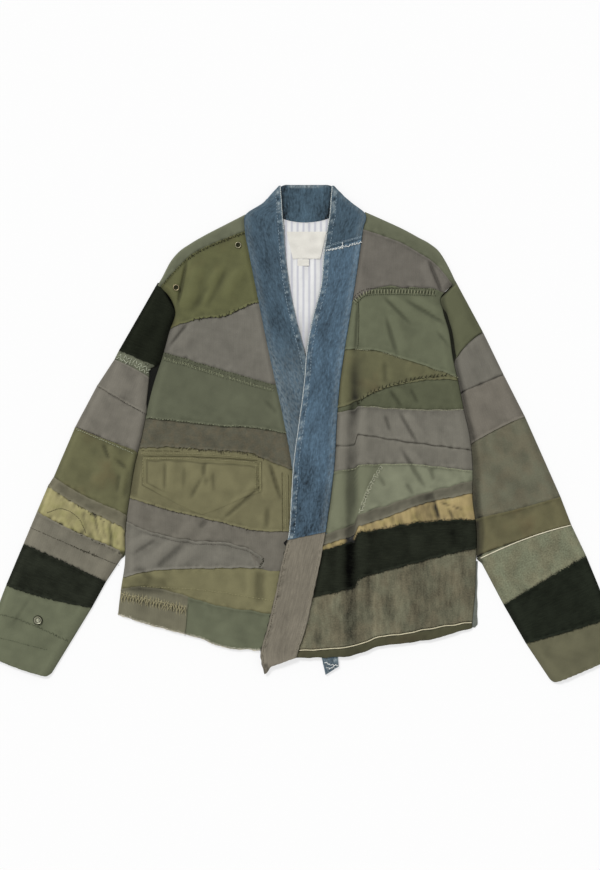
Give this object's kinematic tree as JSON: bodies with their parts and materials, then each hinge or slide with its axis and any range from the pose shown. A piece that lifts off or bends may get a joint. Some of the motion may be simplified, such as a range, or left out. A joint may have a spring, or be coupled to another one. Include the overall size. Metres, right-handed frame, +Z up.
{
  "type": "patchwork jacket",
  "caption": "Open-front patchwork jacket laid flat on its back: strip-pieced olive, grey and black cloth, a denim front band and wide straight sleeves",
  "frame": {"origin": "on the floor, at the middle of the laid-out jacket's outline", "axes": "+X to the wearer's left sleeve, +Y from the hem to the collar, +Z up from the floor, out of the jacket's front"},
  "size_m": [0.9958, 0.7739, 0.0119],
  "materials": {
    "grey_twill": "matt grey-taupe cotton twill",
    "sage_cotton": "matt sage green cotton",
    "dark_green_cotton": "matt dark olive green cotton",
    "pale_sage_cotton": "matt pale sage cotton",
    "olive_sateen": "olive cotton sateen with a slight sheen",
    "khaki_cotton": "khaki cotton",
    "speckled_wool": "grey-brown speckled wool",
    "black_felt": "napped black wool felt",
    "gold_satin": "puckered gold satin with a sheen",
    "worn_canvas": "worn, mottled olive-grey canvas",
    "taupe_twill": "taupe twill",
    "denim": "faded blue denim",
    "blue_grey_cotton": "blue-grey cotton",
    "white_ticking": "white cotton with thin blue-grey stripes",
    "cream_tape": "bare cream label tape",
    "snap_metal": "aged pale brass"
  },
  "bodies": {
    "root": {"back_panel": "sage_cotton", "side_strip": "blue_grey_cotton", "right_shoulder_strip": "sage_cotton", "left_shoulder_strip": "sage_cotton", "neck_band": "denim", "right_band_denim": "denim", "left_band_denim_top": "denim", "left_band_denim": "denim", "left_band_taupe": "taupe_twill", "lining": "white_ticking", "label": "cream_tape", "size_tab": "cream_tape", "right_front_olive_yoke": "olive_sateen", "right_front_grey_upper": "grey_twill", "right_front_sage": "sage_cotton", "right_front_wool": "speckled_wool", "right_front_khaki_pocket": "khaki_cotton", "pocket_flap": "khaki_cotton", "right_front_grey_middle": "grey_twill", "right_front_grey_leaf": "grey_twill", "right_front_khaki_lower": "khaki_cotton", "right_front_hem_taupe": "taupe_twill", "right_front_hem_sage": "sage_cotton", "left_front_grey_yoke": "grey_twill", "left_front_sage": "sage_cotton", "left_front_khaki_wedge": "olive_sateen", "left_front_green_wedge": "dark_green_cotton", "left_front_grey_upper": "grey_twill", "left_front_grey_lower": "grey_twill", "left_front_sage_dark": "sage_cotton", "left_front_sage_pale": "pale_sage_cotton", "left_front_ribbon": "speckled_wool", "left_front_gold": "gold_satin", "left_front_black": "black_felt", "left_front_canvas": "worn_canvas", "left_front_hem_band": "olive_sateen", "right_sleeve_black_felt": "black_felt", "right_sleeve_sage_strip": "sage_cotton", "right_sleeve_grey_upper": "grey_twill", "right_sleeve_grey_middle": "grey_twill", "right_sleeve_olive": "olive_sateen", "right_sleeve_ribbon": "speckled_wool", "right_sleeve_gold": "gold_satin", "right_sleeve_grey_lower": "grey_twill", "right_sleeve_black_wool": "black_felt", "right_cuff_sage": "sage_cotton", "right_undersleeve": "sage_cotton", "left_sleeve_olive": "olive_sateen", "left_sleeve_grey_upper": "grey_twill", "left_sleeve_grey_lower": "grey_twill", "left_sleeve_canvas": "worn_canvas", "left_sleeve_khaki": "olive_sateen", "left_sleeve_worn": "worn_canvas", "left_sleeve_black": "black_felt", "left_cuff_olive": "olive_sateen", "left_undersleeve": "sage_cotton", "yoke_snap_neck": "snap_metal", "yoke_snap_shoulder": "snap_metal", "cuff_snap": "snap_metal"}
  },
  "joints": []
}
